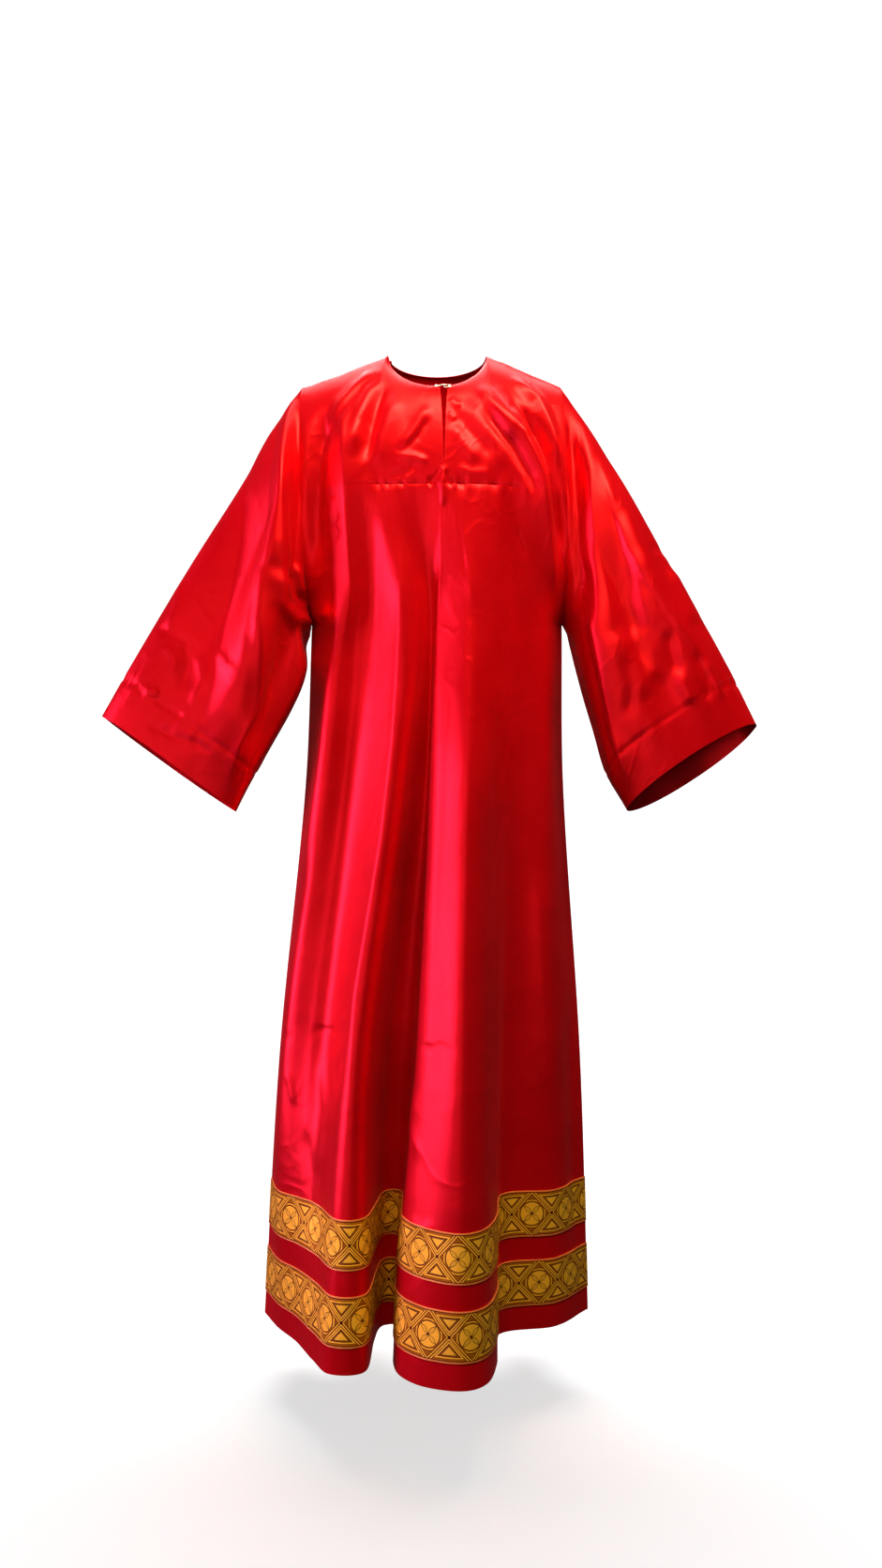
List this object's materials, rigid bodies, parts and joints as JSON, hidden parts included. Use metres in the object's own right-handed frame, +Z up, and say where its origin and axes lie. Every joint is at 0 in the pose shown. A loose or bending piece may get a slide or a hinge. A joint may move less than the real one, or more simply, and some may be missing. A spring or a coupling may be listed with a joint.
{
  "type": "sticharion",
  "caption": "Full-length flared liturgical tunic of satin, worn open and hollow, with wide sleeves, a round neck with a front slit and gold galloon above the hem.",
  "frame": {"origin": "midway between the two points where the shoulder seams meet the neck, where the wearer's shoulders hold the garment", "axes": "+Z up along the garment, -Y the front, +X the wearer's left"},
  "size_m": [0.912, 0.418, 1.3782],
  "materials": {
    "satin": "glossy red satin",
    "galloon": "woven metallic gold galloon",
    "wire": "polished gilt wire"
  },
  "bodies": {
    "root": {"front_yoke": "satin", "front": "satin", "back": "satin", "sleeve_right": "satin", "sleeve_left": "satin", "band_upper_front": "galloon", "band_upper_back": "galloon", "band_lower_front": "galloon", "band_lower_back": "galloon", "neck_hook": "wire", "neck_eye": "wire"}
  },
  "joints": []
}
